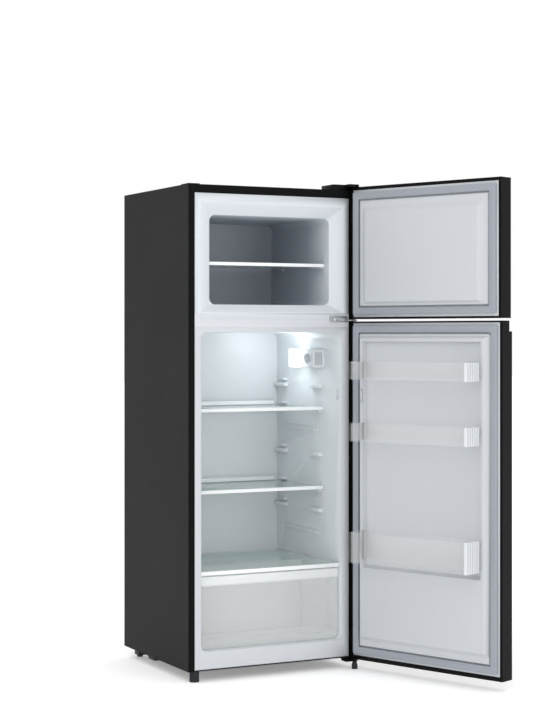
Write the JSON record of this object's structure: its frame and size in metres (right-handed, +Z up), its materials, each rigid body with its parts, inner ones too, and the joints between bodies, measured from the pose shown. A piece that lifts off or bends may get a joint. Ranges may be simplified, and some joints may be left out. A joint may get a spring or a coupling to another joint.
{
  "type": "top freezer refrigerator",
  "caption": "Free-standing black refrigerator with a freezer compartment on top, two right-hinged doors, glass shelves, door bins and a crisper drawer.",
  "frame": {"origin": "on the floor, on the cabinet's centreline, directly below the plane of its front flange", "axes": "+X to the right seen from the front (the hinge side), +Y to the back, +Z up"},
  "size_m": [0.7695, 1.0117, 1.4445],
  "materials": {
    "shell_steel": "satin dark grey paint",
    "back_steel": "satin dark paint",
    "black_steel": "satin black paint",
    "door_steel": "glossy black paint",
    "foam": "rigid foam",
    "white_plastic": "satin white",
    "clear_plastic": "clear moulded plastic",
    "glass_pane": "clear glass",
    "black_plastic": "satin",
    "foot_plastic": "satin",
    "gasket": "matt grey",
    "bush_plastic": "matt",
    "zinc_steel": "bright zinc plate",
    "copper": "drawn copper",
    "compressor_black": "satin black enamel",
    "grommet_rubber": "matt",
    "lamp_white": "lit diffuser",
    "control_body": "matt"
  },
  "bodies": {
    "cabinet": {"outer_shell": "shell_steel", "back_panel": "back_steel", "base_pan": "black_steel", "cabinet_foam": "foam", "freezer_liner": "white_plastic", "fridge_liner": "white_plastic", "divider_strip": "white_plastic", "top_corner_cap": "black_plastic", "compressor": "compressor_black", "compressor_grommets": "grommet_rubber", "compressor_relay_cover": "black_plastic", "compressor_plate": "black_steel", "refrigerant_pipes": "copper", "condenser_tubes": "copper", "drip_tray": "black_plastic", "drain_tube": "black_plastic", "rear_spacers": "black_plastic", "cord_gland": "black_plastic", "thermostat_housing": "white_plastic", "thermostat_body": "control_body", "lamp_cover": "lamp_white", "lamp_module": "lamp_white", "light_switch_housing": "white_plastic", "top_hinge": "zinc_steel", "top_hinge_cover": "black_plastic", "middle_hinge": "zinc_steel", "lower_hinge": "black_steel", "hinge_screws": "zinc_steel"},
    "thermostat_knob": {"thermostat_knob": "white_plastic"},
    "light_switch_plunger": {"light_switch_plunger": "white_plastic"},
    "left_levelling_foot": {"left_levelling_foot": "foot_plastic"},
    "right_levelling_foot": {"right_levelling_foot": "foot_plastic"},
    "left_rear_roller": {"left_rear_roller": "foot_plastic"},
    "right_rear_roller": {"right_rear_roller": "foot_plastic"},
    "freezer_door": {"freezer_door_skin": "door_steel", "freezer_door_foam": "foam", "freezer_door_liner": "white_plastic", "freezer_door_gasket": "gasket", "freezer_door_caps": "black_plastic", "freezer_door_bushes": "bush_plastic"},
    "fridge_door": {"fridge_door_skin": "door_steel", "fridge_door_foam": "foam", "fridge_door_liner": "white_plastic", "fridge_door_gasket": "gasket", "fridge_door_caps": "black_plastic", "fridge_door_bushes": "bush_plastic"},
    "upper_door_bin": {"upper_door_bin": "clear_plastic", "upper_bin_ends": "white_plastic"},
    "middle_door_bin": {"middle_door_bin": "clear_plastic", "middle_bin_ends": "white_plastic"},
    "lower_door_bin": {"lower_door_bin": "clear_plastic", "lower_bin_ends": "white_plastic"},
    "freezer_shelf": {"freezer_shelf_glass": "glass_pane", "freezer_shelf_trim": "white_plastic"},
    "upper_shelf": {"upper_shelf_glass": "glass_pane", "upper_shelf_trims": "white_plastic"},
    "lower_shelf": {"lower_shelf_glass": "glass_pane", "lower_shelf_trims": "white_plastic"},
    "crisper_cover": {"crisper_cover": "white_plastic"},
    "crisper_drawer": {"crisper_drawer": "clear_plastic"}
  },
  "joints": [
    {"name": "freezer_door_hinge", "type": "hinge", "parent": "cabinet", "child": "freezer_door", "pos_m": [0.2625, -0.0185, 1.238], "axis": [0, 0, 1], "range_deg": [-110.8, 14.2]},
    {"name": "fridge_door_hinge", "type": "hinge", "parent": "cabinet", "child": "fridge_door", "pos_m": [0.2625, -0.0185, 0.533], "axis": [0, 0, 1], "range_deg": [-111.5, 13.5]},
    {"name": "upper_door_bin_lift", "type": "slide", "parent": "fridge_door", "child": "upper_door_bin", "axis": [0, 0, 1], "range_m": [0, 0.022]},
    {"name": "middle_door_bin_lift", "type": "slide", "parent": "fridge_door", "child": "middle_door_bin", "axis": [0, 0, 1], "range_m": [0, 0.022]},
    {"name": "lower_door_bin_lift", "type": "slide", "parent": "fridge_door", "child": "lower_door_bin", "axis": [0, 0, 1], "range_m": [0, 0.05]},
    {"name": "freezer_shelf_slide", "type": "slide", "parent": "cabinet", "child": "freezer_shelf", "axis": [0, -1, 0], "range_m": [0, 0.2]},
    {"name": "upper_shelf_slide", "type": "slide", "parent": "cabinet", "child": "upper_shelf", "axis": [0, -1, 0], "range_m": [0, 0.25]},
    {"name": "lower_shelf_slide", "type": "slide", "parent": "cabinet", "child": "lower_shelf", "axis": [0, -1, 0], "range_m": [0, 0.25]},
    {"name": "crisper_cover_slide", "type": "slide", "parent": "cabinet", "child": "crisper_cover", "axis": [0, -1, 0], "range_m": [0, 0.3]},
    {"name": "crisper_drawer_slide", "type": "slide", "parent": "cabinet", "child": "crisper_drawer", "axis": [0, -1, 0], "range_m": [0, 0.22]},
    {"name": "thermostat_knob_turn", "type": "hinge", "parent": "cabinet", "child": "thermostat_knob", "pos_m": [0.1995, 0.168, 0.924], "axis": [-1, 0, 0], "range_deg": [-150, 150]},
    {"name": "light_switch_press", "type": "slide", "parent": "cabinet", "child": "light_switch_plunger", "axis": [1, 0, 0], "range_m": [0, 0.004], "stiffness_N_per_m": 300, "springref_m": -0.003},
    {"name": "left_foot_turn", "type": "hinge", "parent": "cabinet", "child": "left_levelling_foot", "pos_m": [-0.245, 0.02, 0], "axis": [0, 0, 1], "continuous": true},
    {"name": "right_foot_turn", "type": "hinge", "parent": "cabinet", "child": "right_levelling_foot", "pos_m": [0.2625, -0.0185, 0], "axis": [0, 0, 1], "continuous": true},
    {"name": "left_rear_roller_spin", "type": "hinge", "parent": "cabinet", "child": "left_rear_roller", "pos_m": [-0.2345, 0.45, 0.014], "axis": [1, 0, 0], "continuous": true},
    {"name": "right_rear_roller_spin", "type": "hinge", "parent": "cabinet", "child": "right_rear_roller", "pos_m": [0.2345, 0.45, 0.014], "axis": [1, 0, 0], "continuous": true}
  ]
}
